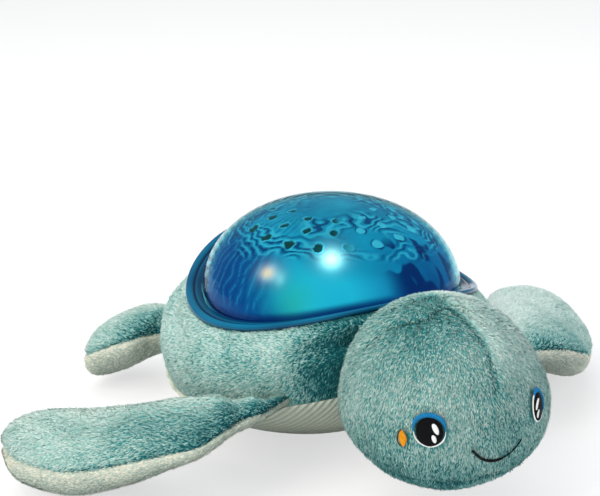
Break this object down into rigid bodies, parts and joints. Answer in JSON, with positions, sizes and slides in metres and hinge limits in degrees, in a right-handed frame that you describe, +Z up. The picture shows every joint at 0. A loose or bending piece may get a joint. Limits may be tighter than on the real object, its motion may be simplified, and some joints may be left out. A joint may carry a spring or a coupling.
{
  "type": "turtle night light projector",
  "caption": "Plush sea turtle with a domed night light projector in its back: turning wave drum, lamps, speaker, push buttons and a battery bay",
  "frame": {"origin": "on the floor, on the flat foot's underside, straight under the dome's axis", "axes": "+Z up, the turtle faces -Y, its left side is +X"},
  "size_m": [0.3766, 0.2962, 0.1335],
  "materials": {
    "clear_blue": "clear tinted gloss",
    "mask_blue": "tinted gloss",
    "rim_blue": "gloss",
    "tub_plastic": "satin",
    "gear_plastic": "satin",
    "clear_plastic": "clear gloss",
    "button_plastic": "satin",
    "black_plastic": "matte",
    "steel": "plated",
    "brass": "plated",
    "cell_wrap": "satin",
    "circuit_board": "satin",
    "lamp_board": "satin",
    "capacitor_sleeve": "satin",
    "cone_paper": "matte",
    "white_lamp": "clear gloss",
    "amber_lamp": "clear gloss",
    "plush": "short pile",
    "corduroy": "ribbed",
    "embroidery": "satin stitch"
  },
  "bodies": {
    "housing": {"dome_shell": "clear_blue", "fish_mask": "mask_blue", "rim_bezel": "rim_blue", "rim_screws": "steel", "tub": "tub_plastic", "battery_1": "cell_wrap", "battery_2": "cell_wrap", "battery_3": "cell_wrap", "contact_plates": "brass", "contact_springs": "steel", "main_board": "circuit_board", "sound_chip": "black_plastic", "capacitors": "capacitor_sleeve", "wire_sockets": "lamp_board", "board_screws": "steel", "speaker_frame": "steel", "speaker_magnet": "steel", "chassis_plate": "tub_plastic", "chassis_screws": "steel", "motor": "steel", "motor_screws": "steel", "idler_pin": "steel", "led_post": "tub_plastic", "drum_clip": "black_plastic", "led_board": "lamp_board", "white_leds": "white_lamp", "amber_leds": "amber_lamp", "control_panel": "rim_blue", "control_base": "rim_blue", "button_board": "circuit_board", "tact_switches": "black_plastic", "body_plush": "plush", "belly_panel": "corduroy"},
    "wave_drum": {"drum_gear": "gear_plastic", "wave_drum": "clear_plastic"},
    "idler": {"idler_gear": "gear_plastic"},
    "motor_rotor": {"motor_pinion": "gear_plastic", "motor_shaft": "steel"},
    "speaker_cone": {"speaker_cone": "cone_paper"},
    "light_button": {"light_button": "button_plastic"},
    "sound_button": {"sound_button": "button_plastic"},
    "volume_button": {"volume_button": "button_plastic"},
    "battery_door": {"battery_door": "tub_plastic", "battery_door_screw": "steel"},
    "head": {"head_plush": "plush", "right_eye": "embroidery", "left_eye": "embroidery"},
    "front_right_flipper": {"front_right_flipper": "plush"},
    "front_left_flipper": {"front_left_flipper": "plush"},
    "rear_right_flipper": {"rear_right_flipper": "plush"},
    "rear_left_flipper": {"rear_left_flipper": "plush"}
  },
  "joints": [
    {"name": "drum_spin", "type": "hinge", "parent": "housing", "child": "wave_drum", "pos_m": [0, 0, 0.08], "axis": [0, 0, 1], "continuous": true},
    {"name": "idler_spin", "type": "hinge", "parent": "housing", "child": "idler", "pos_m": [0, 0.0288, 0.08], "axis": [0, 0, 1], "continuous": true},
    {"name": "motor_spin", "type": "hinge", "parent": "housing", "child": "motor_rotor", "pos_m": [0.0192, 0.0288, 0.08], "axis": [0, 0, 1], "continuous": true},
    {"name": "cone_vibration", "type": "slide", "parent": "housing", "child": "speaker_cone", "axis": [0, 0, 1], "range_m": [-0.0003, 0.0003], "stiffness_N_per_m": 1000},
    {"name": "light_press", "type": "slide", "parent": "housing", "child": "light_button", "axis": [-0.1975, 0.1657, -0.9662], "range_m": [0, 0.0007], "stiffness_N_per_m": 1500},
    {"name": "sound_press", "type": "slide", "parent": "housing", "child": "sound_button", "axis": [-0.1975, 0.1657, -0.9662], "range_m": [0, 0.0007], "stiffness_N_per_m": 1500},
    {"name": "volume_press", "type": "slide", "parent": "housing", "child": "volume_button", "axis": [-0.1975, 0.1657, -0.9662], "range_m": [0, 0.0007], "stiffness_N_per_m": 1500},
    {"name": "battery_door_lift", "type": "slide", "parent": "housing", "child": "battery_door", "axis": [0, 0, -1], "range_m": [0, 0.05]},
    {"name": "head_nod", "type": "hinge", "parent": "housing", "child": "head", "pos_m": [0, -0.0895, 0.06877], "axis": [1, 0, 0], "range_deg": [-6, 6], "stiffness_Nm_per_rad": 3, "springref_deg": -0.97},
    {"name": "front_right_lift", "type": "hinge", "parent": "housing", "child": "front_right_flipper", "pos_m": [-0.07558, -0.07109, 0.05145], "axis": [0.4226, 0.9063, 0], "range_deg": [-12, 25], "stiffness_Nm_per_rad": 1, "springref_deg": 1.15},
    {"name": "front_left_lift", "type": "hinge", "parent": "housing", "child": "front_left_flipper", "pos_m": [0.07917, -0.06952, 0.05145], "axis": [0.7193, -0.6947, 0], "range_deg": [-12, 25], "stiffness_Nm_per_rad": 1, "springref_deg": 1.15},
    {"name": "rear_right_lift", "type": "hinge", "parent": "housing", "child": "rear_right_flipper", "pos_m": [-0.06559, 0.07484, 0.04646], "axis": [0.8572, 0.515, 0], "range_deg": [-12, 25], "stiffness_Nm_per_rad": 0.6, "springref_deg": 0.57},
    {"name": "rear_left_lift", "type": "hinge", "parent": "housing", "child": "rear_left_flipper", "pos_m": [0.06559, 0.07484, 0.04646], "axis": [0.8572, -0.515, 0], "range_deg": [-12, 25], "stiffness_Nm_per_rad": 0.6, "springref_deg": 0.57}
  ],
  "couplings": [
    {"joint": "idler_spin", "follows": "drum_spin", "ratio": -5},
    {"joint": "motor_spin", "follows": "drum_spin", "ratio": 15}
  ]
}
